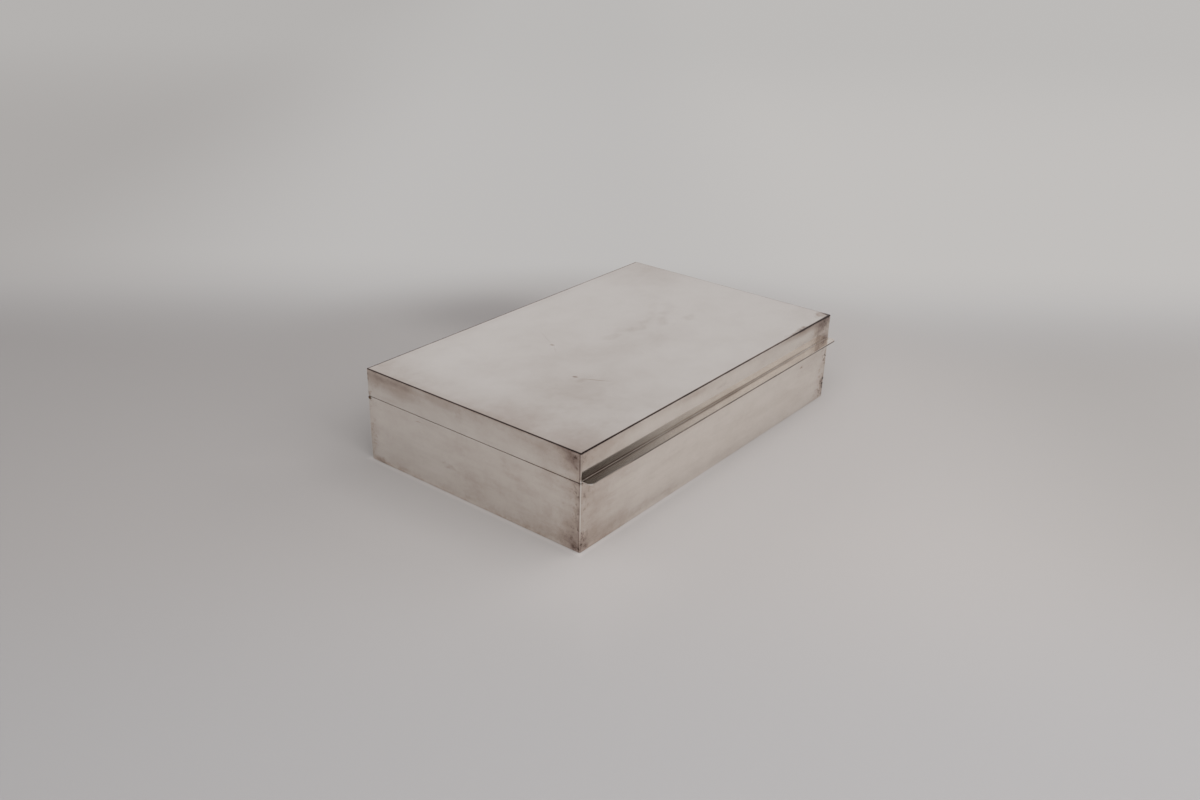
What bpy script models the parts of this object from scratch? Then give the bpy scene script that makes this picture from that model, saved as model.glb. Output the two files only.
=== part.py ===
"""A silver-plated table box with a hinged lid, a thumb lip along the lid's front edge and a cedar lining.

Frame: the origin is the centre of the base plate's underside. +X runs along the long side, +Y runs back
to the hinge, +Z is up. Everything is in metres.
"""

import math

import bmesh
import bpy

# Overall sizes of the metal box
LENGTH = 0.264
DEPTH = 0.164
BODY_HEIGHT = 0.0424
LID_HEIGHT = 0.0176

# Sheet metal
SHEET = 0.0012
BASE_SHEET = 0.0012
TOP_SHEET = 0.0009
CORNER_RADIUS = 0.001
TOP_EDGE_RADIUS = 0.0005
RIM_SOFTENING = 0.00015

# Thumb lip on the lid's front wall
LIP_PROJECTION = 0.0062
LIP_THICKNESS = 0.0009
LIP_RISE = 0.0004
LIP_END_INSET = 0.0005
LIP_CORNER_RADIUS = 0.003
LIP_EDGE_RADIUS = 0.0003
LIP_FILLET = 0.0007

# Hinge: a pin in seven knuckles let into the back of the seam
KNUCKLE_COUNT = 7
PIN_RADIUS = 0.0006
PIN_RECESS = 0.0002
PIN_CLEARANCE = 0.00005
KNUCKLE_WALL = 0.00055
KNUCKLE_END_GAP = 0.0002
HINGE_SETBACK = 0.00005
HINGE_CLEARANCE = 0.0003
BEARER_DEPTH = 0.0012
BEARER_HEIGHT = 0.0042

# Cedar lining of the body
LINING_THICKNESS = 0.004
LINING_RISE = 0.004
FLOOR_BOARD = 0.004
LINING_ROUNDING = 0.0009
DIVIDER_THICKNESS = 0.003
DIVIDER_DROP = 0.008
GROOVE_DEPTH = 0.0015

# Cedar lining of the lid
LID_BOARD = 0.003
LID_STRIP_THICKNESS = 0.003
LID_STRIP_CLEARANCE = 0.001
LID_STRIP_ROUNDING = 0.0006

# Gaps between pieces that touch on the real box
SEAM_GAP = 0.0003
SOLDER_GAP = 0.0001
GLUE_GAP = 0.0003
MITRE_GAP = 0.0001

# How far a cutter runs past what it cuts
OVERRUN = 0.002

# Counts of flat steps on round forms
CORNER_STEPS = 4
LIP_CORNER_STEPS = 12
EDGE_STEPS = 3
TUBE_SIDES = 24
GROOVE_SIDES = 48

# Heights and places that follow from the sizes above
HEIGHT = BODY_HEIGHT + LID_HEIGHT
BODY_RIM = BODY_HEIGHT - SEAM_GAP / 2
LID_RIM = BODY_HEIGHT + SEAM_GAP / 2
LID_WALL_TOP = HEIGHT - TOP_SHEET - SOLDER_GAP

BORE_RADIUS = PIN_RADIUS + PIN_CLEARANCE
KNUCKLE_RADIUS = BORE_RADIUS + KNUCKLE_WALL
HINGE_Y = DEPTH / 2 - HINGE_SETBACK - KNUCKLE_RADIUS
HINGE_Z = BODY_HEIGHT - KNUCKLE_RADIUS
HINGE_REACH = KNUCKLE_RADIUS + HINGE_CLEARANCE

BEARER_OUTER_Y = DEPTH / 2 - SHEET - SOLDER_GAP
BEARER_INNER_Y = BEARER_OUTER_Y - BEARER_DEPTH
HINGE_INNER_Y = min(BEARER_INNER_Y, HINGE_Y - HINGE_REACH)

LINING_HALF_LENGTH = LENGTH / 2 - SHEET - GLUE_GAP
LINING_HALF_DEPTH = DEPTH / 2 - SHEET - GLUE_GAP
FLOOR_BOTTOM = BASE_SHEET + GLUE_GAP
FLOOR_TOP = FLOOR_BOTTOM + FLOOR_BOARD
LINING_BOTTOM = FLOOR_TOP + GLUE_GAP
LINING_TOP = BODY_HEIGHT + LINING_RISE
LID_BOARD_BOTTOM = HEIGHT - TOP_SHEET - GLUE_GAP - LID_BOARD
LID_STRIP_BOTTOM = max(LINING_TOP + LID_STRIP_CLEARANCE, HINGE_Z + BEARER_HEIGHT + GLUE_GAP)

# Each wall of a ring is drawn as the back wall and turned to its side
SIDE_TURNS = {"back": 0, "left": math.pi / 2, "front": math.pi, "right": -math.pi / 2}


def clear_scene():
    for old in list(bpy.data.objects):
        bpy.data.objects.remove(old, do_unlink=True)


def new_collection(name):
    collection = bpy.data.collections.new(name)
    bpy.context.scene.collection.children.link(collection)
    return collection


def new_material(name, colour, metallic, roughness):
    material = bpy.data.materials.new(name)
    material.use_nodes = True
    shader = material.node_tree.nodes["Principled BSDF"]
    shader.inputs["Base Color"].default_value = (*colour, 1)
    shader.inputs["Metallic"].default_value = metallic
    shader.inputs["Roughness"].default_value = roughness
    material.diffuse_color = (*colour, 1)
    return material


clear_scene()
PARTS = new_collection("silver_plated_box")
CUTTERS = new_collection("cutters")
SILVER = new_material("silver_plate", (0.79, 0.76, 0.73), 1, 0.28)
TARNISHED = new_material("tarnished_plate", (0.42, 0.36, 0.30), 1, 0.4)
BRASS = new_material("brass_pin", (0.68, 0.50, 0.27), 1, 0.35)
CEDAR = new_material("cedar", (0.52, 0.30, 0.17), 0, 0.6)


def new_frame(name, location):
    """An empty that carries the pieces of one rigid body."""
    frame = bpy.data.objects.new(name, None)
    frame.location = location
    frame.empty_display_size = LENGTH / 10
    PARTS.objects.link(frame)
    return frame


def place(piece, frame, location, material, turn=0):
    """Hangs a piece on its frame, at a world location, turned about the vertical."""
    piece.parent = frame
    piece.location = [at - origin for at, origin in zip(location, frame.location)]
    piece.rotation_euler.z = turn
    piece.data.materials.clear()
    piece.data.materials.append(material)
    return piece


def new_object(name, mesh, collection=PARTS):
    piece = bpy.data.objects.new(name, mesh)
    collection.objects.link(piece)
    return piece


def take_primitive(name, collection):
    """Names the primitive that was just added and moves it into the collection."""
    piece = bpy.context.active_object
    piece.name = piece.data.name = name
    for old in list(piece.users_collection):
        old.objects.unlink(piece)
    collection.objects.link(piece)
    return piece


def plate(name, outline, thickness):
    """A flat outline of (x, y) points made solid from z 0 up to its thickness."""
    curve = bpy.data.curves.new(name, "CURVE")
    curve.dimensions = "2D"
    curve.fill_mode = "BOTH"
    curve.extrude = thickness / 2
    spline = curve.splines.new("POLY")
    spline.points.add(len(outline) - 1)
    for point, (x, y) in zip(spline.points, outline):
        point.co = (x, y, 0, 1)
    spline.use_cyclic_u = True
    drawn = new_object(name + "_outline", curve, CUTTERS)
    graph = bpy.context.evaluated_depsgraph_get()
    mesh = bpy.data.meshes.new_from_object(drawn.evaluated_get(graph))
    bpy.data.objects.remove(drawn)

    shape = bmesh.new()
    shape.from_mesh(mesh)
    bmesh.ops.remove_doubles(shape, verts=shape.verts, dist=thickness * 1e-4)
    bmesh.ops.translate(shape, verts=shape.verts, vec=(0, 0, thickness / 2))
    bmesh.ops.dissolve_limit(
        shape, angle_limit=math.radians(1), verts=shape.verts, edges=shape.edges
    )
    bmesh.ops.recalc_face_normals(shape, faces=shape.faces)
    shape.to_mesh(mesh)
    shape.free()
    mesh.name = name
    return new_object(name, mesh)


def block(name, low, high, collection=PARTS):
    """A box between two corners. Its origin is its centre."""
    bpy.ops.mesh.primitive_cube_add(size=1)
    piece = take_primitive(name, collection)
    piece.scale = [b - a for a, b in zip(low, high)]
    bpy.ops.object.transform_apply(location=False, rotation=False, scale=True)
    piece.location = [(a + b) / 2 for a, b in zip(low, high)]
    return piece


def rod(name, radius, length, sides, collection=PARTS):
    """A cylinder on the hinge axis, centred on the box."""
    bpy.ops.mesh.primitive_cylinder_add(vertices=sides, radius=radius, depth=length)
    piece = take_primitive(name, collection)
    piece.location = (0, HINGE_Y, HINGE_Z)
    piece.rotation_euler.y = math.pi / 2
    return piece


def make_cutter(piece):
    piece.hide_render = True
    piece.display_type = "WIRE"
    return piece


def cut(piece, cutter, operation="DIFFERENCE"):
    boolean = piece.modifiers.new(operation.lower(), "BOOLEAN")
    boolean.operation = operation
    boolean.object = cutter
    return piece


def soften(piece, width, chosen, steps=EDGE_STEPS):
    """Rounds the edges for which chosen(middle, direction) is true."""
    mesh = piece.data
    weights = mesh.attributes.new("bevel_weight_edge", "FLOAT", "EDGE")
    for edge in mesh.edges:
        start, end = (mesh.vertices[i].co for i in edge.vertices)
        weights.data[edge.index].value = float(chosen((start + end) / 2, end - start))
    bevel = piece.modifiers.new("soft edges", "BEVEL")
    bevel.limit_method = "WEIGHT"
    bevel.width = width
    bevel.segments = steps
    bevel.use_clamp_overlap = True
    return piece


def arc(centre_x, centre_y, radius, start, end, steps):
    """Points of a circular arc, both ends included."""
    angles = [start + (end - start) * i / steps for i in range(steps + 1)]
    return [(centre_x + radius * math.cos(a), centre_y + radius * math.sin(a)) for a in angles]


def rounded_rectangle(half_x, half_y, radius):
    corners = [(1, 1, 0), (-1, 1, 1), (-1, -1, 2), (1, -1, 3)]
    points = []
    for sign_x, sign_y, quarter in corners:
        start = quarter * math.pi / 2
        centre_x = sign_x * (half_x - radius)
        centre_y = sign_y * (half_y - radius)
        points += arc(centre_x, centre_y, radius, start, start + math.pi / 2, 2 * CORNER_STEPS)
    return points


def rectangle(half_x, half_y):
    return [(half_x, half_y), (-half_x, half_y), (-half_x, -half_y), (half_x, -half_y)]


def mitred_outline(half_length, reach, thickness, radius):
    """Plan of a back wall that ends in two mitres: its outer face is at y = reach, and each outer corner
    is half of a rounded corner. The mitre faces stand back by half of the gap."""
    shortening = MITRE_GAP / math.sqrt(2)
    if radius:
        last = math.pi / 4 + math.asin(MITRE_GAP / (2 * radius))
        centre = (half_length - radius, reach - radius)
        outer = arc(*centre, radius, math.pi / 2, last, CORNER_STEPS)
    else:
        outer = [(half_length - shortening, reach)]
    right = outer + [(half_length - thickness - shortening, reach - thickness)]
    left = [(-x, y) for x, y in reversed(right)]
    return left + right


def along_rim(height):
    """Chooses the edges of a mitred wall that run along it at this height."""

    def chosen(middle, direction):
        level = abs(middle.z - height) < SHEET / 100 and abs(direction.z) < SHEET / 100
        on_mitre = direction.x * direction.y * middle.x > (SHEET / 100) ** 3
        return level and not on_mitre

    return chosen


def mitred_ring(prefix, suffix, frame, material, half_x, half_y, thickness, radius, low, high, rounding,
                rounded_end):
    """Four walls round a rectangle, each its own piece. The rim at the rounded end is softened."""
    walls = {}
    for side, turn in SIDE_TURNS.items():
        lengthways = side in ("front", "back")
        half_length = half_x if lengthways else half_y
        reach = half_y if lengthways else half_x
        outline = mitred_outline(half_length, reach, thickness, radius)
        wall = plate(f"{prefix}_{side}{suffix}", outline, high - low)
        soften(wall, rounding, along_rim(high - low if rounded_end == "top" else 0))
        walls[side] = place(wall, frame, (0, 0, low), material, turn)
    return walls


def shade_round(piece):
    """Smooth shading that keeps edges over 30 degrees sharp."""
    piece.data.shade_smooth()
    piece.data.set_sharp_from_angle(angle=math.radians(30))
    return piece


def hinge_recess_cutter():
    """The square step along the back of the body's rim that the knuckles lie in."""
    low = (-LENGTH / 2 - OVERRUN, HINGE_Y - HINGE_REACH, HINGE_Z - HINGE_REACH)
    high = (LENGTH / 2 + OVERRUN, DEPTH / 2 + OVERRUN, BODY_HEIGHT + OVERRUN)
    return make_cutter(block("hinge_recess_cutter", low, high, CUTTERS))


def build_body_shell(frame):
    walls = mitred_ring("body", "_wall", frame, SILVER, LENGTH / 2, DEPTH / 2, SHEET, CORNER_RADIUS,
                        0, BODY_RIM, RIM_SOFTENING, "top")
    recess = hinge_recess_cutter()
    for side in ("back", "left", "right"):
        cut(walls[side], recess)
    inside = rectangle(LENGTH / 2 - SHEET - SOLDER_GAP, DEPTH / 2 - SHEET - SOLDER_GAP)
    place(plate("base_plate", inside, BASE_SHEET), frame, (0, 0, 0), SILVER)


def build_lid_shell(frame):
    mitred_ring("lid", "_wall", frame, SILVER, LENGTH / 2, DEPTH / 2, SHEET, CORNER_RADIUS,
                LID_RIM, LID_WALL_TOP, RIM_SOFTENING, "bottom")
    outline = rounded_rectangle(LENGTH / 2, DEPTH / 2, CORNER_RADIUS)
    top = plate("lid_top_plate", outline, TOP_SHEET)
    edge_radius = min(TOP_EDGE_RADIUS, TOP_SHEET - SOLDER_GAP)
    soften(top, edge_radius, lambda middle, direction: middle.z > TOP_SHEET * 0.99)
    place(top, frame, (0, 0, HEIGHT - TOP_SHEET), SILVER)
    shade_round(top)


def lip_outline(half_length):
    """Plan of the lip, drawn outwards along +Y: square at the wall, with two rounded outer corners."""
    radius = min(LIP_CORNER_RADIUS, LIP_PROJECTION - LIP_EDGE_RADIUS)
    centre_x = half_length - radius
    centre_y = LIP_PROJECTION - radius
    right = arc(centre_x, centre_y, radius, 0, math.pi / 2, LIP_CORNER_STEPS)
    left = [(-x, y) for x, y in reversed(right)]
    return [(half_length, 0)] + right + left + [(-half_length, 0)]


def solder_fillet(length):
    """The hollow fillet of solder in the corner between the lip and the wall, along X."""
    curve_in = arc(LIP_FILLET, LIP_THICKNESS + LIP_FILLET, LIP_FILLET, math.pi, 1.5 * math.pi, EDGE_STEPS)
    root = LIP_THICKNESS / 2
    fillet = plate("lip_fillet", [(LIP_FILLET, root), (0, root)] + curve_in, length)
    turned = fillet.data
    for vertex in turned.vertices:
        across, up, along = vertex.co
        vertex.co = (along - length / 2, across, up)
    CUTTERS.objects.link(fillet)
    PARTS.objects.unlink(fillet)
    return make_cutter(fillet)


def build_thumb_lip(frame):
    half_length = LENGTH / 2 - LIP_END_INSET
    lip = plate("thumb_lip", lip_outline(half_length), LIP_THICKNESS)
    tolerance = LIP_THICKNESS / 100
    soften(lip, LIP_EDGE_RADIUS,
           lambda middle, direction: abs(direction.z) < tolerance and middle.y > tolerance)
    at = (0, -DEPTH / 2 - SOLDER_GAP, LID_RIM + LIP_RISE)
    place(lip, frame, at, SILVER, SIDE_TURNS["front"])
    fillet = place(solder_fillet(2 * (half_length - LIP_FILLET)), frame, at, SILVER, SIDE_TURNS["front"])
    cut(lip, fillet, "UNION")


def knuckle_profile(length):
    """The section of a knuckle's wall, to be turned about Z."""
    mesh = bpy.data.meshes.new("knuckle")
    shape = bmesh.new()
    section = [
        (KNUCKLE_RADIUS, length / 2),
        (KNUCKLE_RADIUS, -length / 2),
        (BORE_RADIUS, -length / 2),
        (BORE_RADIUS, length / 2),
    ]
    corners = [shape.verts.new((x, 0, z)) for x, z in section]
    for a, b in zip(corners, corners[1:] + corners[:1]):
        shape.edges.new((a, b))
    shape.to_mesh(mesh)
    shape.free()
    mesh.materials.append(TARNISHED)
    return mesh


def build_knuckles(body, lid):
    """Seven tubes end to end on the axis. The first, the last and every other one belong to the body."""
    pitch = (LENGTH + KNUCKLE_END_GAP) / KNUCKLE_COUNT
    length = pitch - KNUCKLE_END_GAP
    mesh = knuckle_profile(length)
    for i in range(KNUCKLE_COUNT):
        frame = lid if i % 2 else body
        knuckle = new_object(f"{frame.name}_knuckle_{i // 2 + 1}", mesh)
        turn = knuckle.modifiers.new("turned tube", "SCREW")
        turn.axis = "Z"
        turn.steps = turn.render_steps = TUBE_SIDES
        turn.use_merge_vertices = False
        at = (-LENGTH / 2 + length / 2 + i * pitch, HINGE_Y, HINGE_Z)
        knuckle.parent = frame
        knuckle.location = [there - origin for there, origin in zip(at, frame.location)]
        knuckle.rotation_euler.y = math.pi / 2


def build_pin(frame):
    pin = rod("hinge_pin", PIN_RADIUS, LENGTH - 2 * PIN_RECESS, TUBE_SIDES)
    place(pin, frame, tuple(pin.location), BRASS)
    shade_round(pin)


def build_bearers(body, lid):
    """A strip inside each back wall that stiffens it and is hollowed to hold the knuckles."""
    groove_length = LENGTH + 2 * OVERRUN
    groove = make_cutter(rod("knuckle_groove_cutter", HINGE_REACH, groove_length, GROOVE_SIDES, CUTTERS))
    half_length = LENGTH / 2 - SHEET - SOLDER_GAP
    heights = {
        body: (HINGE_Z - BEARER_HEIGHT, HINGE_Z - SEAM_GAP / 2),
        lid: (HINGE_Z + SEAM_GAP / 2, HINGE_Z + BEARER_HEIGHT),
    }
    for frame, (low, high) in heights.items():
        bearer = block(
            f"{frame.name}_hinge_bearer",
            (-half_length, BEARER_INNER_Y, low),
            (half_length, BEARER_OUTER_Y, high),
        )
        place(bearer, frame, tuple(bearer.location), SILVER)
        cut(bearer, groove)


def build_lining(frame):
    floor = plate("lining_floor", rectangle(LINING_HALF_LENGTH, LINING_HALF_DEPTH), FLOOR_BOARD)
    place(floor, frame, (0, 0, FLOOR_BOTTOM), CEDAR)

    walls = mitred_ring("lining", "", frame, CEDAR, LINING_HALF_LENGTH, LINING_HALF_DEPTH,
                        LINING_THICKNESS, 0, LINING_BOTTOM, LINING_TOP, LINING_ROUNDING, "top")
    low = (-LENGTH / 2, HINGE_INNER_Y - GLUE_GAP, HINGE_Z - BEARER_HEIGHT - GLUE_GAP)
    high = (LENGTH / 2, DEPTH / 2, LINING_TOP + OVERRUN)
    rebate = make_cutter(block("hinge_rebate_cutter", low, high, CUTTERS))
    for side in ("back", "left", "right"):
        cut(walls[side], rebate)

    groove_reach = LINING_HALF_DEPTH - LINING_THICKNESS + GROOVE_DEPTH
    half_groove = DIVIDER_THICKNESS / 2 + GLUE_GAP
    low = (-half_groove, -groove_reach, LINING_BOTTOM - OVERRUN)
    high = (half_groove, groove_reach, LINING_TOP + OVERRUN)
    groove = make_cutter(block("divider_groove_cutter", low, high, CUTTERS))
    for side in ("front", "back"):
        cut(walls[side], groove)

    half_divider = groove_reach - GLUE_GAP
    height = LINING_TOP - DIVIDER_DROP - LINING_BOTTOM
    divider = plate("lining_divider", rectangle(DIVIDER_THICKNESS / 2, half_divider), height)
    rounding = min(LINING_ROUNDING, DIVIDER_THICKNESS / 2 - GLUE_GAP)
    soften(divider, rounding,
           lambda middle, direction: middle.z > height * 0.99 and abs(direction.y) > DIVIDER_THICKNESS)
    place(divider, frame, (0, 0, LINING_BOTTOM), CEDAR)


def build_lid_lining(frame):
    board = plate("lid_lining_board", rectangle(LINING_HALF_LENGTH, LINING_HALF_DEPTH), LID_BOARD)
    place(board, frame, (0, 0, LID_BOARD_BOTTOM), CEDAR)
    mitred_ring("lid_lining", "_strip", frame, CEDAR, LINING_HALF_LENGTH, LINING_HALF_DEPTH,
                LID_STRIP_THICKNESS, 0, LID_STRIP_BOTTOM, LID_BOARD_BOTTOM - GLUE_GAP,
                LID_STRIP_ROUNDING, "bottom")


def main():
    body = new_frame("body", (0, 0, 0))
    lid = new_frame("lid", (0, HINGE_Y, HINGE_Z))
    build_body_shell(body)
    build_lid_shell(lid)
    build_thumb_lip(lid)
    build_knuckles(body, lid)
    build_pin(body)
    build_bearers(body, lid)
    build_lining(body)
    build_lid_lining(lid)
    print(f"box {LENGTH:.3f} x {DEPTH + SOLDER_GAP + LIP_PROJECTION:.4f} x {HEIGHT:.3f} m,"
          f" {len([o for o in PARTS.objects if o.type == 'MESH'])} pieces,"
          f" hinge axis at y {HINGE_Y:.5f}, z {HINGE_Z:.5f}")


main()
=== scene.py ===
# %% [markdown]
# # A silver-plated table box
#
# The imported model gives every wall, board and knuckle its place. This script gives them their surface:
# satin silver plate that has browned at its corners, a thin thumb lip, a brass pin, and cedar inside.
#
# Everything is in metres. +X runs along the long front, +Y runs back to the hinge and +Z is up.

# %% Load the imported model
import math

import bmesh
import bpy
import numpy as np
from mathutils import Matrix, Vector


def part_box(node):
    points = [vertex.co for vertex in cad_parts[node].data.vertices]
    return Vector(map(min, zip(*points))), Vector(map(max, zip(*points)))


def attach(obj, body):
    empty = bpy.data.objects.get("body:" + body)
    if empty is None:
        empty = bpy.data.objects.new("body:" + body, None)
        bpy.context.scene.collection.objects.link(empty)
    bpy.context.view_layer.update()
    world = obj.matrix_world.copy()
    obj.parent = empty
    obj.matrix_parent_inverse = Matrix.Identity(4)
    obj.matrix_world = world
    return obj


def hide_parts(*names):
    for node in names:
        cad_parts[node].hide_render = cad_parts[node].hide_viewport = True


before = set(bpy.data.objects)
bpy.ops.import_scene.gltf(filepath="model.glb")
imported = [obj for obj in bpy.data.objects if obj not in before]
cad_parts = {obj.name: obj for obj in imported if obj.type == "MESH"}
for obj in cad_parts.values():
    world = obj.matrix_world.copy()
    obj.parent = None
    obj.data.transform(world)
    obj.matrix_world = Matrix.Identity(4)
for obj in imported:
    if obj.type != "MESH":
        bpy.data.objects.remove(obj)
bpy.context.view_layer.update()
MM = 0.001

# %% [markdown]
# ## Sizes
#
# The box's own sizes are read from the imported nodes, so that each new surface lies where its solid does.
# A face that is drawn again here starts from these few numbers and not from numbers typed twice.

# %% Read the sizes of the box
low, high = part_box("body_left_wall")
BODY_RIM = high.z
HALF_LENGTH = -low.x
HALF_DEPTH = -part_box("body_front_wall")[0].y
SHEET = high.x - low.x
LID_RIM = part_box("lid_front_wall")[0].z
LID_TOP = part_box("lid_top_plate")[1].z
LID_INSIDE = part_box("lid_front_wall")[1].z
RECESS_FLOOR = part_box("body_back_wall")[1].z
print(f"half length {HALF_LENGTH / MM:.1f}, half depth {HALF_DEPTH / MM:.1f}, sheet {SHEET / MM:.2f} mm")
print(f"body rim {BODY_RIM / MM:.2f}, lid from {LID_RIM / MM:.2f} to {LID_TOP / MM:.2f} mm")

# %% Read the sizes of the hinge and the lip
tube_low, tube_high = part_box("body_knuckle_1")
TUBE_RADIUS = (tube_high.z - tube_low.z) / 2
HINGE_Y = (tube_low.y + tube_high.y) / 2
HINGE_Z = (tube_low.z + tube_high.z) / 2
PIN_RADIUS = (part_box("hinge_pin")[1].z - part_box("hinge_pin")[0].z) / 2
RECESS_FRONT = HINGE_Y - (HINGE_Z - RECESS_FLOOR)
lip_low, lip_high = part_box("thumb_lip")
LIP_HALF_LENGTH = lip_high.x
print(f"hinge axis at y {HINGE_Y / MM:.2f}, z {HINGE_Z / MM:.2f}, tube radius {TUBE_RADIUS / MM:.2f} mm")
print(f"lip reaches {(-HALF_DEPTH - lip_low.y) / MM:.2f} mm out")

# %% [markdown]
# ## Surfaces from arrays
#
# Each new piece is a grid of points: one direction goes round or along the piece, the other follows its
# section. numpy works out all the points at once, and the faces are only the grid's own cells. A grid that
# joins up with itself in both directions is a closed ring, like a picture frame. A grid whose first and
# last rows shrink to a point is a closed shell.

# %% Points along a line, and round a rounded rectangle
def subdivide(knots, spacing):
    """Every knot, with even points between them that are no further apart than the spacing."""
    knots = np.asarray(knots, float)
    counts = np.maximum(1, np.ceil(np.abs(np.diff(knots)) / spacing)).astype(int)
    runs = [np.linspace(a, b, n, endpoint=False) for a, b, n in zip(knots, knots[1:], counts)]
    return np.concatenate([*runs, knots[-1:]])


def rounded_loop(half_x, half_y, flat, spacing, side_knots=(), steps=8):
    """Points round a rectangle, anticlockwise, in a form that lets each height choose its corner radius.

    It returns the points, the outward directions and the corner pulls. The straight sides stop short of
    each corner by flat. There all points of a corner lie on the sharp corner itself, the outward direction
    is (cos a, sin a), and the pull is that direction minus the sharp corner's own (1, 1). A corner of
    radius r is then the sharp corner plus r times the pull.
    """
    run_x = subdivide([-half_x + flat, half_x - flat], spacing)
    run_y = subdivide([-half_y + flat, *side_knots, half_y - flat], spacing)
    turn = np.linspace(0, math.pi / 2, steps + 1)
    sides = [
        (np.full_like(run_y, half_x), run_y),
        (run_x[::-1], np.full_like(run_x, half_y)),
        (np.full_like(run_y, -half_x), run_y[::-1]),
        (run_x, np.full_like(run_x, -half_y)),
    ]
    points, outward, pull = [], [], []
    for quarter, side in enumerate(sides):
        angle = quarter * math.pi / 2
        points.append(np.stack(side, -1))
        outward.append(np.tile([math.cos(angle), math.sin(angle)], (len(side[0]), 1)).round())
        pull.append(np.zeros((len(side[0]), 2)))
        ray = np.stack([np.cos(turn + angle), np.sin(turn + angle)], -1)
        middle = angle + math.pi / 4
        sharp = np.sign([math.cos(middle), math.sin(middle)])
        points.append(np.tile(sharp * [half_x, half_y], (len(ray), 1)))
        outward.append(ray)
        pull.append(ray - sharp)
    return np.concatenate(points), np.concatenate(outward), np.concatenate(pull)


def arc(centre, radius, start, end, steps=5, lead_in=0, lead_out=0):
    """Points centre + radius * (cos a, sin a), with the angle a in degrees from start to end.

    A lead is one more point on the straight line that runs into the arc or out of it. It keeps the flat
    face beside the arc flat in its shading, so that it mirrors the room without a bend at its edge.
    """
    angle = np.radians(np.linspace(start, end, steps + 1))
    points = np.stack([centre[0] + radius * np.cos(angle), centre[1] + radius * np.sin(angle)], -1)
    heading = np.stack([-np.sin(angle), np.cos(angle)], -1) * np.sign(end - start)
    before = [points[:1] - lead_in * heading[:1]] if lead_in else []
    after = [points[-1:] + lead_out * heading[-1:]] if lead_out else []
    return np.concatenate([*before, points, *after])


# %% From a grid of points to a piece of the box
def grid_faces(rows, columns, wrap_rows):
    """The cells of a grid that joins up along its columns, and along its rows too if wrap_rows is true."""
    row = np.arange(rows if wrap_rows else rows - 1)[:, None]
    column = np.arange(columns)[None, :]
    next_row = (row + 1) % rows
    next_column = (column + 1) % columns
    cells = [row * columns + column, row * columns + next_column,
             next_row * columns + next_column, next_row * columns + column]
    return np.stack([np.broadcast_to(c, (row.size, columns)) for c in cells], -1).reshape(-1, 4)


SHARP_ANGLE = 40
SAME_PLACE = 1e-4 * MM


def new_piece(name, grid, wrap_rows, body, replaced):
    """Makes one object from a grid of points of the shape (rows, columns, 3).

    Points that coincide, at poles and sharp inner corners, are merged, and faces are turned outwards.
    """
    shape = bmesh.new()
    mesh = bpy.data.meshes.new(name)
    faces = grid_faces(grid.shape[0], grid.shape[1], wrap_rows)
    mesh.from_pydata(grid.reshape(-1, 3).tolist(), [], faces.tolist())
    shape.from_mesh(mesh)
    bmesh.ops.remove_doubles(shape, verts=shape.verts, dist=SAME_PLACE)
    bmesh.ops.recalc_face_normals(shape, faces=shape.faces)
    shape.to_mesh(mesh)
    shape.free()
    mesh.shade_smooth()
    mesh.set_sharp_from_angle(angle=math.radians(SHARP_ANGLE))
    piece = bpy.data.objects.new(name, mesh)
    bpy.context.scene.collection.objects.link(piece)
    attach(piece, body)
    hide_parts(*replaced)
    print(f"{name}: {len(mesh.vertices)} points, {len(mesh.polygons)} faces")
    return piece


# %% [markdown]
# ## Sheet that isn't quite flat
#
# The real walls are rolled sheet that was soldered, hammered true and polished by hand for decades. Such a
# face is never a perfect plane: it swells and dips by a few hundredths of a millimetre over the width of
# a hand, and reflections bend with it. A few slow sine waves at odd angles give that, and they only ever
# push the metal inwards, so the box keeps its size.

# %% A slow, shallow wobble
WOBBLE_DEPTH = 0.10 * MM
WOBBLE_WAVES = (
    # wavelength in metres, angle in degrees, start of the wave in turns
    (0.110, 20, 0.10),
    (0.074, 75, 0.45),
    (0.052, -35, 0.80),
    (0.037, 50, 0.25),
)


def wobble(across, along):
    """Depth of the dips on a face: the mean of the sine waves, lifted so that it is never negative."""
    total = np.zeros(np.broadcast(across, along).shape)
    for length, angle, start in WOBBLE_WAVES:
        turn = math.radians(angle)
        distance = across * math.cos(turn) + along * math.sin(turn)
        total = total + np.sin(2 * math.pi * (distance / length + start))
    return WOBBLE_DEPTH * (0.5 + 0.5 * total / len(WOBBLE_WAVES))


# %% [markdown]
# ## The body's four walls as one shell
#
# On the real box the four corners are soldered, filed round and polished until no joint shows. In the
# solids each wall is a plate of its own, with a hair of space at each mitre. Here one surface goes round
# all four: the wall's section is carried along a rounded rectangle. Along the back the rim drops to make
# room for the hinge, so the section's height changes there within a twentieth of a millimetre.

# %% The wall's section, carried round the body
LEAD = 0.04 * MM
RIM_ROUNDING = 0.10 * MM
FOOT_ROUNDING = 0.45 * MM
CORNER_AT_RIM = 0.6 * MM
CORNER_AT_FOOT = 1.4 * MM
CORNER_WEAR_SHARE = 0.5
STATION_SPACING = 4 * MM
STEP_WIDTH = 0.05 * MM
FLAT_BESIDE_RIM = 8 * MM


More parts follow.
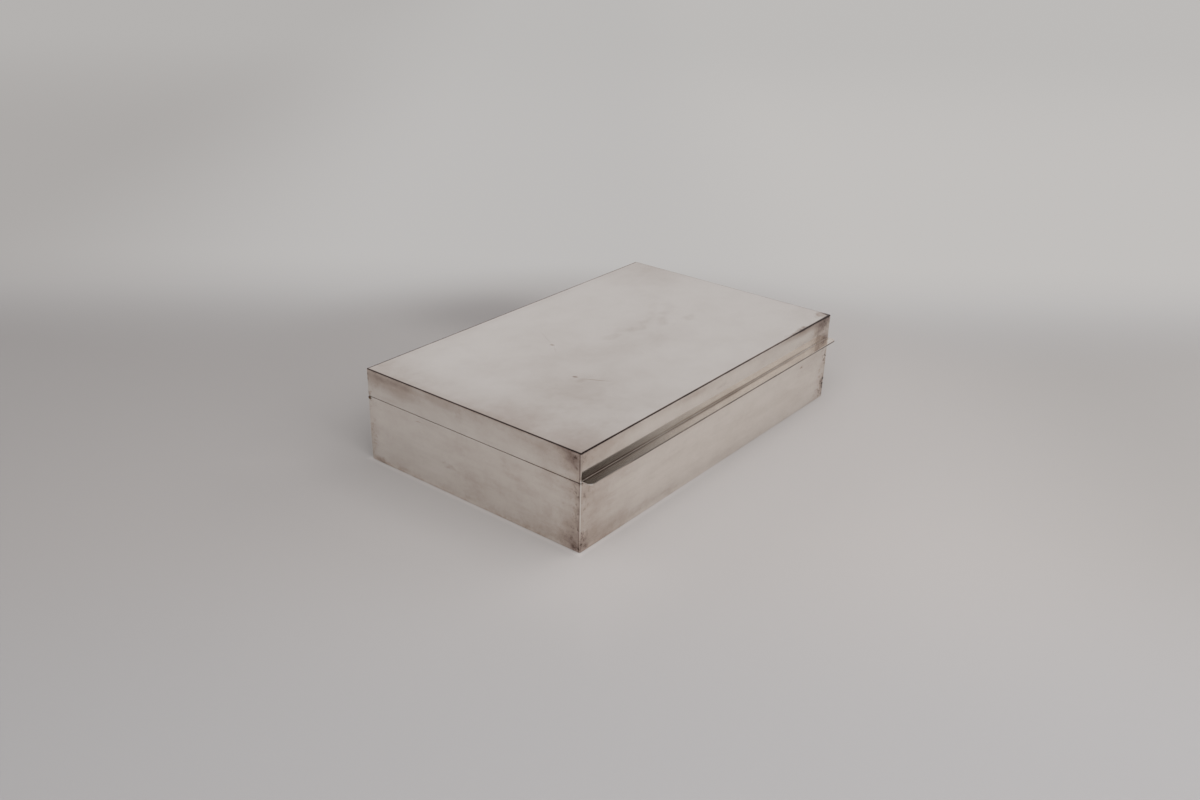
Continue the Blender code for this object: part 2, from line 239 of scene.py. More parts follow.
def wall_section(foot, rim_rounding):
    """Section of the wall as (inset, height, follows) rows. Where follows is 1, height is above the rim.

    It starts under the outer face, goes up it, over the rounded rim and down the inner face. All rows up
    to the height called shared lie level all round. The lining hides the inner face, so it has few rows.
    """
    outer_foot = arc((foot, foot), foot, 270, 180, lead_in=LEAD, lead_out=LEAD)
    shared = RECESS_FLOOR - 4 * rim_rounding
    outer_rows = subdivide([foot + LEAD, shared], STATION_SPACING)[1:]
    outer_rim = arc((rim_rounding, -rim_rounding), rim_rounding, 180, 90, lead_in=LEAD)
    inner_rim = arc((SHEET - rim_rounding, -rim_rounding), rim_rounding, 90, 0, lead_out=LEAD)
    inner_rows = subdivide([shared, foot], 4 * STATION_SPACING)
    fixed = np.concatenate([outer_foot, np.stack([0 * outer_rows, outer_rows], -1)])
    inner = np.stack([SHEET + 0 * inner_rows, inner_rows], -1)
    inner = np.concatenate([inner, [[SHEET, 0]]])
    rim = np.concatenate([outer_rim, inner_rim])
    rows = np.concatenate([fixed, rim, inner])
    follows = np.concatenate([0 * fixed[:, 0], 0 * rim[:, 0] + 1, 0 * inner[:, 0]])
    return rows[:, 0], rows[:, 1], follows


def inset_points(loop, radius, inset, half_x, half_y):
    """Each loop point plus radius * pull - inset * outward, held so that the inner corner stays square."""
    points, outward, pull = (part[:, None, :] for part in loop)
    moved = points + radius[None, :, None] * pull - inset[None, :, None] * outward
    bound = np.stack([half_x - inset, half_y - inset], -1)[None]
    return np.clip(moved, -bound, bound)


# %% Make the body's shell
side_knots = (RECESS_FRONT, RECESS_FRONT + STEP_WIDTH)
loop = rounded_loop(HALF_LENGTH, HALF_DEPTH, CORNER_AT_FOOT + LEAD, STATION_SPACING, side_knots)
points, outward, _ = loop
inset, height, follows = wall_section(FOOT_ROUNDING, RIM_ROUNDING)
worn = np.clip(1 - (height + follows * BODY_RIM) / (CORNER_WEAR_SHARE * BODY_RIM), 0, 1)
radius = CORNER_AT_RIM + (CORNER_AT_FOOT - CORNER_AT_RIM) * worn ** 2
in_recess = points[:, 1] > RECESS_FRONT + STEP_WIDTH / 2
rim = np.where(in_recess, RECESS_FLOOR, BODY_RIM)
z = height[None, :] + follows[None, :] * rim[:, None]
along = points.sum(1, keepdims=True)
middle_of_wall = np.clip(z / FLAT_BESIDE_RIM, 0, 1) * np.clip((rim[:, None] - z) / FLAT_BESIDE_RIM, 0, 1)
dip = wobble(along, z) * middle_of_wall * (inset[None, :] == 0)
xy = inset_points(loop, radius, inset, HALF_LENGTH, HALF_DEPTH)
xy = xy - dip[..., None] * outward[:, None, :]
walls = [f"body_{side}_wall" for side in ("front", "back", "left", "right")]
body_shell = new_piece("body_shell", np.dstack([xy, z]), True, "body", walls)

# %% [markdown]
# ## The lid as one shell
#
# The lid's top plate was soldered onto its walls and the joint filed into a small round edge. That edge is
# a narrow curved mirror that shows the unlit part of the room, and the dark line round the top is also
# painted into the silver's colour there: partly tarnish and partly a painted reflection of that unlit room.
# The shell is one surface again. It starts at the middle of the top, spreads out in rings of the same shape
# to the edge, rounds over, runs down the wall, over the rim, and back up inside.

# %% Make the lid's shell
LID_EDGE = 0.45 * MM
LID_CORNER = 0.6 * MM
TOP_RINGS = 30
FLAT_BESIDE_LID_EDGE = 6 * MM
FLAT_TOP_SHARE = 0.15
UNDERSIDE = LID_INSIDE - 0.1 * MM

loop = rounded_loop(HALF_LENGTH, HALF_DEPTH, LID_CORNER + LEAD, STATION_SPACING)
points, outward, _ = loop
edge = arc((LID_EDGE, LID_TOP - LID_EDGE), LID_EDGE, 90, 180, 6, lead_in=LEAD, lead_out=LEAD)
wall_rows = subdivide([LID_TOP - LID_EDGE - LEAD, LID_RIM + RIM_ROUNDING + LEAD], STATION_SPACING)[1:-1]
rim_rows = np.concatenate([
    arc((RIM_ROUNDING, LID_RIM + RIM_ROUNDING), RIM_ROUNDING, 180, 270, lead_in=LEAD),
    arc((SHEET - RIM_ROUNDING, LID_RIM + RIM_ROUNDING), RIM_ROUNDING, 270, 360, lead_out=LEAD),
    [[SHEET, UNDERSIDE]],
])
section = np.concatenate([edge, np.stack([0 * wall_rows, wall_rows], -1), rim_rows])
inset, height = section[:, 0], section[:, 1]
z = np.broadcast_to(height[None, :], (len(points), len(height)))
below_edge = np.clip((LID_TOP - z) / FLAT_BESIDE_LID_EDGE, 0, 1)
above_rim = np.clip((z - LID_RIM) / FLAT_BESIDE_LID_EDGE, 0, 1)
along = points.sum(1, keepdims=True)
dip = wobble(along, z) * below_edge * above_rim * (inset[None, :] == 0)
radius = np.full_like(inset, LID_CORNER)
xy = inset_points(loop, radius, inset, HALF_LENGTH, HALF_DEPTH) - dip[..., None] * outward[:, None, :]
wall = np.dstack([xy, z])

share = np.linspace(0, 1, TOP_RINGS, endpoint=False)[None, :, None]
top_xy = wall[:, :1, :2] * share
from_edge = np.clip((1 - share[..., 0]) / FLAT_TOP_SHARE, 0, 1)
top_z = LID_TOP - wobble(top_xy[..., 0], top_xy[..., 1]) * from_edge ** 2 * (3 - 2 * from_edge)
under_xy = wall[:, -1:, :2] * share[:, ::-1]
under_z = np.full(under_xy.shape[:2], UNDERSIDE)
lid_grid = np.concatenate([np.dstack([top_xy, top_z]), wall, np.dstack([under_xy, under_z])], 1)
lid_nodes = ["lid_top_plate"] + [f"lid_{side}_wall" for side in ("front", "back", "left", "right")]
lid_shell = new_piece("lid_shell", lid_grid.transpose(1, 0, 2), False, "lid", lid_nodes)

# %% [markdown]
# ## The thumb lip
#
# The lip is a flat strip of plate, soldered by its back edge to the front of the lid, with its two outer
# corners filed to a quarter circle. Its section is a small loop: flat below, rounded in front, flat on
# top, and with a hollow fillet of solder where it meets the wall. That loop is carried along the lid, and
# near the ends it becomes shorter by the formula of the quarter circle.

# %% Make the lip
LIP_THICKNESS = 0.9 * MM
LIP_EDGE = 0.30 * MM
LIP_CORNER = 3.0 * MM
LIP_FILLET = 0.45 * MM
LEAST_FILLET = 0.02 * MM
FILLET_SHARE = 0.8
FILLET_LEAD_SHARE = 0.08
SHAVE_SHARE = 0.9
SOLDER_GAP = 0.1 * MM
LIP_SEAT = -HALF_DEPTH - SOLDER_GAP

reach = LIP_SEAT - lip_low.y
bend = np.radians(np.linspace(0, 90, 13))
ends = LIP_HALF_LENGTH - LIP_CORNER + LIP_CORNER * np.sin(bend)
x = np.concatenate([-ends[::-1], subdivide([-ends[0], ends[0]], STATION_SPACING)[1:-1], ends])
beyond = np.clip(np.abs(x) - (LIP_HALF_LENGTH - LIP_CORNER), 0, LIP_CORNER)
depth = reach - LIP_CORNER + np.sqrt(LIP_CORNER ** 2 - beyond ** 2)
to_lip_end = LIP_HALF_LENGTH - np.abs(x)
fillet = np.clip(np.minimum(LIP_FILLET, to_lip_end), LEAST_FILLET, FILLET_SHARE * (depth - LIP_EDGE))


def lip_section(depth, fillet, shave):
    """The lip's section at each station, as (out from the wall, up) loops, all with the same points.

    Near the two ends shave keeps it off its own top and bottom, which rounds the ends' edges as well.
    """
    low_front = arc((0, LIP_EDGE), LIP_EDGE, 270, 360, lead_in=LEAD)
    high_front = arc((0, LIP_THICKNESS - LIP_EDGE), LIP_EDGE, 0, 90, lead_out=LEAD)
    front = np.concatenate([low_front, high_front])
    hollow = arc((1, 1), 1, 270, 180, lead_in=FILLET_LEAD_SHARE)
    depth, fillet, shave = (row[:, None] for row in (depth, fillet, shave))
    out = [0 * depth, depth - LIP_EDGE + front[:, 0], fillet * hollow[:, 0]]
    up = [0 * depth, 0 * depth + front[:, 1], LIP_THICKNESS + fillet * hollow[:, 1]]
    up = np.clip(np.concatenate(up, 1), shave, LIP_THICKNESS + fillet - shave)
    return np.concatenate(out, 1), up


from_end = np.clip(to_lip_end, 0, LIP_EDGE)
shave = SHAVE_SHARE * (LIP_EDGE - np.sqrt(LIP_EDGE ** 2 - (LIP_EDGE - from_end) ** 2))
out, up = lip_section(depth, fillet, shave)
lip_grid = np.dstack([np.broadcast_to(x[:, None], out.shape), LIP_SEAT - out, lip_low.z + up])
poles = lip_grid[[0, -1]].mean(1, keepdims=True) + 0 * lip_grid[[0, -1]]
lip_grid = np.concatenate([poles[:1], lip_grid, poles[1:]])
lip = new_piece("lip", lip_grid, False, "lid", ["thumb_lip"])

# %% [markdown]
# ## The hinge
#
# Seven short tubes share one pin. Each tube was sawn from drawn stock, so its ends are square with the
# burr just taken off. A turned surface suits it: a small closed section, outer wall, rounded end, bore,
# rounded end, goes round the axis.

# %% Make the seven knuckles and the pin
BURR = 0.10 * MM
TURN_STEPS = 48
BORE_RADIUS = PIN_RADIUS + 0.05 * MM
PIN_ROUNDING = 0.25 * MM


def turned(section):
    """A section of (radius, x) points turned about the hinge axis: y and z are radius * (cos a, sin a)."""
    angle = np.linspace(0, 2 * math.pi, TURN_STEPS, endpoint=False)[:, None]
    radius, x = section[None, :, 0], section[None, :, 1]
    y = HINGE_Y + radius * np.cos(angle)
    z = HINGE_Z + radius * np.sin(angle)
    return np.dstack([np.broadcast_to(x, y.shape), y, z])


knuckle_names = [name for name in sorted(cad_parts) if "_knuckle_" in name]
knuckles = []
for name in knuckle_names:
    start, end = (corner.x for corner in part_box(name))
    section = np.concatenate([
        arc((TUBE_RADIUS - BURR, end - BURR), BURR, 90, 0, 3),
        arc((TUBE_RADIUS - BURR, start + BURR), BURR, 0, -90, 3),
        [[BORE_RADIUS, start], [BORE_RADIUS, end]],
    ])
    body = name.split("_")[0]
    tube = new_piece(f"{body}_tube_{name[-1]}", turned(section), True, body, [name])
    knuckles.append(tube)

pin_start, pin_end = (corner.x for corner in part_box("hinge_pin"))
pin_section = np.concatenate([
    [[0, pin_start]],
    arc((PIN_RADIUS - PIN_ROUNDING, pin_start + PIN_ROUNDING), PIN_ROUNDING, 270, 360, 4),
    arc((PIN_RADIUS - PIN_ROUNDING, pin_end - PIN_ROUNDING), PIN_ROUNDING, 0, 90, 4),
    [[0, pin_end]],
])
pin_grid = turned(pin_section).transpose(1, 0, 2)
pin = new_piece("pin", pin_grid, False, "body", ["hinge_pin"])

# %% [markdown]
# ## Shader maths as Python
#
# A tarnish map is a sum of many small ideas: how near is the corner, how far down the wall, how cloudy
# here. As node links that is hard to read, so one small class wraps a socket, and Python's own operators
# add the Math nodes. Every node of any kind comes from one method, which takes its type, its settings and
# the values or links of its sockets.

# %% A socket that can be added, multiplied and compared
class Wire:
    """One value in a node tree. Sums, products and powers of wires and numbers add Math nodes."""

    def __init__(self, tree, socket):
        self.tree, self.socket = tree, socket

    def maths(self, operation, *values):
        """One Math node of the named operation on the values."""
        return self.tree.node("Math", {"operation": operation}, dict(enumerate(values)))

    def __add__(self, other):
        return self.maths("ADD", self, other)

    def __sub__(self, other):
        return self.maths("SUBTRACT", self, other)

    def __rsub__(self, other):
        return self.maths("SUBTRACT", other, self)

    def __mul__(self, other):
        return self.maths("MULTIPLY", self, other)

    def __truediv__(self, other):
        return self.maths("DIVIDE", self, other)

    def __pow__(self, other):
        return self.maths("POWER", self, other)

    def __abs__(self):
        return self.maths("ABSOLUTE", self)

    __radd__ = __add__
    __rmul__ = __mul__

    def least(self, other):
        """The smaller of the two at each place, as most is the larger."""
        return self.maths("MINIMUM", self, other)

    def most(self, other):
        return self.maths("MAXIMUM", self, other)

    def clamped(self):
        """The value, held between 0 and 1."""
        return self.most(0).least(1)

    def fading(self, reach):
        """exp(-value / reach): 1 where the value is 0, and a third of that where it equals the reach."""
        return self.maths("EXPONENT", self * (-1 / reach))


# %% A node tree with one method for every node
class Tree:
    """Adds nodes to a material or a world."""

    def __init__(self, owner):
        owner.use_nodes = True
        self.nodes, self.links = owner.node_tree.nodes, owner.node_tree.links
        self.nodes.clear()

    def node(self, kind, settings=None, sockets=None, output=0):
        """Adds one node: its settings first, then a value or a link for each socket. Gives its output."""
        node = self.nodes.new("ShaderNode" + kind)
        for name, value in (settings or {}).items():
            if name == "stops":
                self.set_stops(node.color_ramp, value)
            else:
                setattr(node, name, value)
        for name, value in (sockets or {}).items():
            if isinstance(value, Wire):
                self.links.new(value.socket, node.inputs[name])
            else:
                node.inputs[name].default_value = value
        if isinstance(output, tuple):
            return [Wire(self, node.outputs[name]) for name in output]
        return Wire(self, node.outputs[output]) if node.outputs else None

    @staticmethod
    def set_stops(ramp, stops):
        """Gives a colour ramp its stops, as (position, colour) pairs in rising order."""
        while len(ramp.elements) < len(stops):
            ramp.elements.new(1)
        for element, (position, colour) in zip(ramp.elements, stops):
            element.position = position
            element.color = colour

    def place(self):
        """Object coordinates as three wires in millimetres, and the same as one vector in metres."""
        vector = self.node("TexCoord", output="Object")
        x, y, z = self.node("SeparateXYZ", {}, {0: vector}, output=(0, 1, 2))
        return x * (1 / MM), y * (1 / MM), z * (1 / MM), vector

    def noise(self, vector, scale, stretch=(1, 1, 1), detail=4, roughness=0.55, shift=0, output="Factor"):
        """Noise between 0 and 1 with scale features per metre, on a vector that is stretched first."""
        moved = (shift, shift, shift)
        mapped = self.node("Mapping", {}, {"Vector": vector, "Scale": stretch, "Location": moved})
        sockets = {"Vector": mapped, "Scale": scale, "Detail": detail, "Roughness": roughness}
        return self.node("TexNoise", {}, sockets, {"Factor": 0, "Color": 1}[output])

    def vector(self, operation, first, second):
        """Vector Math on two vectors."""
        return self.node("VectorMath", {"operation": operation}, {0: first, 1: second})

    def push(self, vector, scale, reach, shift=0):
        """A small vector in any direction from noise, up to about a quarter of reach long."""
        colours = self.noise(vector, scale, detail=3, shift=shift, output="Color")
        centred = self.vector("SUBTRACT", colours, (0.5, 0.5, 0.5))
        return self.node("VectorMath", {"operation": "SCALE"}, {0: centred, "Scale": reach})

    def ramp(self, value, start, end, low=0, high=1):
        """Goes smoothly from low to high while the value goes from start to end, and stays there."""
        sockets = {"Value": value, "From Min": start, "From Max": end, "To Min": low, "To Max": high}
        return self.node("MapRange", {"interpolation_type": "SMOOTHSTEP"}, sockets)

    def mix(self, share, first, second, blend="MIX"):
        """A colour between two others, or with the blend MULTIPLY the first tinted by the second."""
        settings = {"data_type": "RGBA", "blend_type": blend}
        return self.node("Mix", settings, {0: share, 6: first, 7: second}, output=2)


def new_finish(name):
    """A new material and its empty node tree."""
    material = bpy.data.materials.new(name)
    return material, Tree(material)


def close_finish(tree, sockets):
    """Ends a material's tree with one Principled shader."""
    shader = tree.node("BsdfPrincipled", {}, sockets)
    tree.node("OutputMaterial", {}, {"Surface": shader})


def colour(red, green, blue):
    """An opaque colour in linear light."""
    return (red, green, blue, 1)


# %% [markdown]
# ## Tarnished silver plate
#
# Polished silver turns yellow, brown and in the end black where fingers and cloths don't reach or reach
# too often: in corners, along edges and in the seam. It could be painted into an image, but distances do it
# as well and stay sharp at any size.
#
# Each cloud and each smudge is a soft ellipsoid around a given place on the surface. It is thin across its
# face, so that hardly any of it runs over an edge. The smudges lie in a space that noise bends first,
# within the face alone, which gives them ragged outlines, and mottling breaks up clouds and smudges.
# A place with a negative strength is one that was rubbed clean.

# %% Where the clouds and the smudges are
MARK_DEPTH = 0.8

CLOUDS_SHORT_FACE = (
    # y, z, half width, half height in mm, tilt in degrees, strength
    (-20, 30, 110, 50, 0, 0.09),
    (-50, 26, 44, 26, 0, 0.03),
    (-84, 30, 12, 60, 0, 0.14),
    (-79, 8, 7, 10, 0, 0.10),
    (0, 0, 110, 16, 0, 0.045),
    (-72, 8, 18, 12, 0, 0.10),
    (64, 55, 20, 7, 0, 0.15),
    (79, 57, 8, 7, 0, 0.11),
    (30, 58.5, 70, 3.4, 0, 0.09),
    (22, 57.5, 12, 3, 0, 0.08),
    (62, 56.5, 24, 1.6, 0, 0.10),
    (-66, 56, 20, 8, 0, 0.13),
    (8, 17, 26, 7, 0, 0.03),
    (80, 18, 4, 18, 0, 0.08),
    (-81.2, 51, 0.55, 9, 0, 0.26),
    (-81.0, 21, 0.7, 20, 0, 0.12),
    (34, 16, 24, 18, 0, -0.08),
    (-15, 45, 24, 6, 0, -0.06),
    (-60, 30, 8, 22, 0, 0.05),
    (48, 53, 34, 3.5, 0, 0.07),
    (-75, 53, 5, 4, 0, 0.04),
    (-75, 15, 6, 6, 0, 0.07),
)
CLOUDS_LONG_FACE = (
    # x, z, half width, half height in mm, tilt in degrees, strength
    (-126, 28, 16, 44, 0, 0.07),
    (-118, 30, 26, 60, 0, 0.12),
    (-80, 2, 60, 9, 0, 0.05),
    (-116, 57, 24, 5, 0, 0.06),
    (-112, 4, 30, 10, 0, 0.05),
    (112, 59.2, 34, 2.6, 0, 0.22),
    (-27, 57.5, 14, 2.4, 0, 0.10),
    (92, 57.6, 12, 2.6, 0, 0.12),
    (125, 57.5, 8, 3, 0, 0.10),
    (124, 53, 13, 9, 0, 0.12),
    (98, 48.5, 12, 3, 0, 0.09),
    (113, 36, 10, 8, 0, 0.12),
    (127, 18, 6, 26, 0, 0.09),
    (0, 60, 150, 3, 0, 0.04),
    (0, 25, 240, 60, 0, 0.03),
    (30, 32, 40, 9, 0, -0.06),
    (-60, 57.5, 50, 2.2, 0, 0.06),
    (-124, 53, 10, 3, 0, 0.05),
    (-124, 12, 10, 12, 0, 0.05),
)
# some of the faint grey clouds on the top are a painted reflection of darker parts of the sheet behind the
# box; the rest are tarnish
CLOUDS_TOP = (
    # x, y, half width, half height in mm, tilt in degrees, strength
    (-84, -36, 50, 32, 0, 0.15),
    (-122, -48, 12, 28, 0, 0.03),
    (-40, -84, 90, 16, 0, 0.05),
    (-30, -4, 46, 12, -28, 0.05),
    (12, -16, 26, 12, -20, 0.05),
    (30, 4, 30, 9, 0, 0.05),
    (118, 64, 28, 26, 0, 0.12),
    (-60, 22, 60, 22, 0, 0.04),
    (-134, 20, 22, 110, 0, 0.15),
    (-120, -76, 26, 14, 0, 0.15),
    (-116, 74, 28, 14, 0, 0.07),
    (121, -70, 14, 11, 0, 0.06),
    (-131, 10, 3.2, 70, 0, 0.05),
    (0, 80, 130, 4, 0, 0.04),
    (119, -81.6, 17, 0.8, 0, 0.40),
    (131.4, -80, 1.8, 3.2, 0, 0.60),
)
SMUDGES_SHORT_FACE = (
    # y, z, half width, half height in mm, tilt in degrees, strength
    (-77, 57, 5, 3.6, 0, 0.14),
    (-69, 58, 9, 2.4, 0, 0.12),
    (-79.5, 51.5, 1.6, 6, 0, 0.08),
    (5, 54, 1.6, 4.5, 0, 0.09),
    (64, 57.2, 12, 1.8, 0, 0.07),
    (15, 18, 6, 1.7, 0, 0.22),
    (8, 22.5, 3, 2, 0, 0.05),
    (2, 16, 14, 2.6, 0, 0.03),
    (-28, 32, 6, 3, 0, 0.05),
    (-78, 5, 4, 5, 0, 0.15),
    (-71, 6, 7, 4, 0, 0.13),
    (-80, 24, 1.0, 11, 0, 0.14),
    (-79, 42.4, 4, 1.6, 0, 0.14),
    (72, 2, 8, 2.2, 0, 0.20),
    (-15, 2, 30, 2.2, 0, 0.06),
    (39, 39.4, 3.0, 0.4, -12, 0.28),
)
SMUDGES_LONG_FACE = (
    # x, z, half width, half height in mm, tilt in degrees, strength
    (117, 54, 8, 3, 0, 0.14),
    (124, 56.5, 6, 3, 0, 0.15),
    (129, 53, 1.6, 6, 0, 0.12),
    (1, 53, 5, 1.2, 0, 0.10),
    (129.5, 8, 2.2, 5, 0, 0.22),
    (130.8, 31, 0.9, 6, 0, 0.26),
    (130.8, 15, 0.8, 5, 0, 0.26),
    (128, 21, 3.0, 9, 0, 0.13),
    (119, 47.1, 7, 2.6, 0, 0.38),
    (120.5, 52.2, 5, 1.4, 0, 0.14),
    (99.5, 33.5, 2, 0.7, 0, 0.32),
    (-127, 5, 5, 4, 0, 0.18),
    (-131, 13, 1.2, 12, 0, 0.08),
    (-70, 5, 30, 2.5, 0, 0.03),
)
SMUDGES_TOP = (
    # x, y, half width, half height in mm, tilt in degrees, strength
    (3, 4, 6, 3, -20, 0.08),
    (14, 7, 4, 2.5, 0, 0.04),
    (22, 1, 8, 2.5, -25, 0.05),
    (36, 2, 9, 2, 25, 0.06),
    (46, -4, 7, 2.6, 25, 0.08),
    (56, 2, 6, 2, 30, 0.05),
    (64, -14, 6, 2.6, 20, 0.09),
    (18, -20, 14, 4, 30, 0.04),
    (72, 10, 10, 3, 30, 0.04),
    (60, 12, 12, 2, 30, 0.04),
    (93, -79.8, 13, 1.8, 0, 0.34),
    (128, -78, 5, 4, 0, 0.40),
)
SCRATCHES_TOP = (
    # x, y, half width, half height in mm, tilt in degrees, strength
    (-32.3, 23.5, 0.9, 1.3, 20, 0.34),
    (-26, 34, 9, 0.3, 60, 0.09),
    (-37, 17, 4, 0.3, 50, 0.09),
    (-60, -18, 0.9, 1.4, 20, 0.38),
    (-62, -24, 3, 2, 0, 0.07),
    (-55.5, -30, 6, 0.5, 118, 0.18),
)
ALONG_LIP = (
    # x, z, half width, half height in mm, tilt in degrees, strength, depth in mm
    (-112, 44.6, 26, 3.0, 0, 0.10, 6),
    (-110, 44.8, 30, 0.7, 0, 0.42, 0.6),
    (5, 44.2, 75, 1.3, 0, 0.17, 1.6),
    (5, 44.1, 45, 0.8, 0, 0.17, 1.6),
    (90, 44.1, 34, 1.1, 0, 0.09, 1.6),
    (120, 45.4, 8, 2.8, 0, 0.12, 1.6),
    (128, 45.4, 3, 1.6, 0, 0.22, 1.6),
)
print(f"{len(CLOUDS_TOP) + len(SMUDGES_TOP) + len(SCRATCHES_TOP)} marks on the top")


# each puts a row of a table in its place, as (centre, radii, tilt about the axes, strength)
def on_short_face(y, z, half_y, half_z, tilt, strength, depth=MARK_DEPTH):
    return (-HALF_LENGTH / MM, y, z), (depth, half_y, half_z), (tilt, 0, 0), strength


def on_long_face(x, z, half_x, half_z, tilt, strength, depth=MARK_DEPTH):
    return (x, -HALF_DEPTH / MM, z), (half_x, depth, half_z), (0, tilt, 0), strength


def on_top(x, y, half_x, half_y, tilt, strength, depth=MARK_DEPTH):
    return (x, y, LID_TOP / MM), (half_x, half_y, depth), (0, 0, tilt), strength


FACES = (
    # how a row of a table is placed, and the directions in which noise may bend its outline
    (on_short_face, (0, 1, 1)),
    (on_long_face, (1, 0, 1)),
    (on_top, (1, 1, 0)),
)


# %% Turn the places into a tarnish map
def marks(tree, vector, tables, bend=None):
    """The sum of soft ellipsoids. Each has its strength at its centre and half of it at its radii.

    A Mapping node in texture mode moves the place to the origin, turns it and divides by the radii, so the
    vector's length is the distance in radii.
    """
    total = 0
    for table, (on_face, free) in zip(tables, FACES):
        bent = vector
        if bend:
            within_face = tree.vector("MULTIPLY", bend, free)
            bent = tree.vector("ADD", vector, within_face)
        for place, radii, tilt, strength in (on_face(*mark) for mark in table):
            sockets = {
                "Vector": bent,
                "Location": [length * MM for length in place],
                "Rotation": [math.radians(angle) for angle in tilt],
                "Scale": [length * MM for length in radii],
            }
            mapped = tree.node("Mapping", {"vector_type": "TEXTURE"}, sockets)
            distance = tree.node("VectorMath", {"operation": "LENGTH"}, {0: mapped}, output="Value")
            total = tree.ramp(distance, 0.2, 1.8, strength, 0) + total
    return total


# %% [markdown]
# The rest of the tarnish follows the box itself, and so do the painted dark reflection along the top edge
# and the painted shade on the lip's front. A point's distances to the ends, sides, top and nearest upright
# corner say whether it lies on an edge, in the seam or on the lip's front.

# %% Tarnish, painted reflection and painted shade that follow the edges
class Place:
    """Where a point lies on the box, as wires in millimetres.

    to_end and to_side are its distances to the nearer end and the nearer long side, and inwards is the
    smaller of them. from_corner is the root of the sum of their squares, its distance to an upright
    corner. on_wall goes from 0 on the top to 1 on the walls.
    """

    def __init__(self, tree):
        self.x, self.y, self.z, self.vector = tree.place()
        self.to_end = (HALF_LENGTH / MM - abs(self.x)).most(0)
        self.to_side = (HALF_DEPTH / MM - abs(self.y)).most(0)
        self.inwards = self.to_end.least(self.to_side)
        self.from_corner = (self.to_end ** 2 + self.to_side ** 2) ** 0.5
        self.below_top = LID_TOP / MM - self.z
        self.from_seam = abs(self.z - (BODY_RIM + LID_RIM) / MM / 2)
        self.on_wall = tree.ramp(self.below_top, 0.35, 0.7)


def narrow_lines(tree, at):
    """The dark line round the top, the seam, which darkens towards the front, and the lip's dark front.

    The line round the top is partly tarnish and partly a painted reflection of the unlit room. The lip's
    front
    is painted dark over its lower part: painted shade and dark reflection under the lip, with some tarnish.
    The line is full where a share of inwards plus twice the depth below the top is under 0.45 mm, and gone
    at 0.9 mm. The seam is exp(-distance / 0.3 mm).
    """
    on_end = tree.ramp(at.to_end - at.to_side, 1, -1)
    # painted reflection of the unlit room, with tarnish: the dark line round the top edge
    top_line_tarnish_and_reflection = tree.ramp(at.inwards * (on_end * 0.35 + 0.7) + at.below_top * 2, 0.9, 0.45)
    line_depth = on_end * tree.ramp(at.y, 70, -50, -0.18, 0.08) + tree.ramp(at.x, 50, 110, 0.78, 0.55)
    seam = at.from_seam.fading(0.3) * at.on_wall * tree.ramp(at.y, 0, -75, 0, 0.468)
    # painted shade and dark reflection on the lower part of the lip's front, with some tarnish
    lip_front_shade_and_tarnish = tree.ramp(at.y, lip_low.y / MM + 0.25, lip_low.y / MM + 0.05)
    lip_front_shade_and_tarnish = lip_front_shade_and_tarnish * tree.ramp(at.z - lip_low.z / MM, 0.85, 0.65)
    return top_line_tarnish_and_reflection * line_depth + seam + lip_front_shade_and_tarnish * tree.ramp(at.x, -125, -80, 0.3, 0.85)


def wide_haze(tree, at):
    """Brown haze along the top's edge, the foot and the upright corners, each exp(-distance / reach)."""
    from_top_edge = (at.inwards ** 2 + at.below_top.most(0) ** 2) ** 0.5
    foot = at.z.fading(3) * tree.ramp(at.x, -131, -127, 0.16, 0.06)
    corner = tree.ramp(at.from_corner, 0.5, 1.2) * at.from_corner.fading(1.7) * at.on_wall
    return from_top_edge.fading(1.8) * 0.05 + foot + corner * tree.ramp(at.x, -60, 60, 0.08, 0.3)


def bright_edge(tree, at):
    """Up to 1 along the near upright corner, which hands have rubbed bright, and 0 elsewhere."""
    edge = tree.ramp(at.from_corner, 0.78, 0.42) * at.on_wall
    near = tree.ramp(at.x, -60, -125) * tree.ramp(at.y, -20, -75) * tree.ramp(at.y, -82.6, -82.1)
    return edge * near * tree.ramp(at.z, 47, 43, 0.5, 1) * tree.ramp(at.z, 4, 22, 0.55, 1)


# %% [markdown]
# All of it is added up. The sum picks a colour from the film's range, from clean through brown to black,
# and a thicker film is a little rougher too. Six noises keep it uneven: cloud has features of about 40 mm,
# mottle of 10 mm and fine of 2 mm, rubbed is drawn out into level patches such as a cloth leaves, hairline
# into fine scratches from front to back, and drawn into long streaks along the lip.

# %% The silver's finish
NOISES = {
    # features per metre, stretch along x, y and z, detail, roughness, shift
    "cloud": (24, (1, 1, 1.5), 4, 0.55, 0),
    "mottle": (95, (0.7, 0.8, 1.3), 5, 0.62, 3),
    "fine": (420, (1, 1, 1), 4, 0.6, 5),
    "rubbed": (60, (0.3, 0.45, 3), 4, 0.6, 7),
    "hairline": (90, (12, 1, 12), 3, 0.7, 11),
    "drawn": (1400, (0.006, 1, 1), 2, 0.5, 13),
}
# what a faint film leaves of the clean metal's colour, and how the film darkens as it thickens
FAINT_FILM = (0.900, 0.880, 0.866, 1)
THIN_FILM = colour(0.665, 0.580, 0.525)
BROWN_FILM = colour(0.40, 0.31, 0.275)
DARK_FILM = colour(0.19, 0.135, 0.115)
BLACK_FILM = colour(0.06, 0.04, 0.034)
# the walls' metal is a little yellower than the top's
WALL_TINT = colour(1.0, 0.985, 0.955)


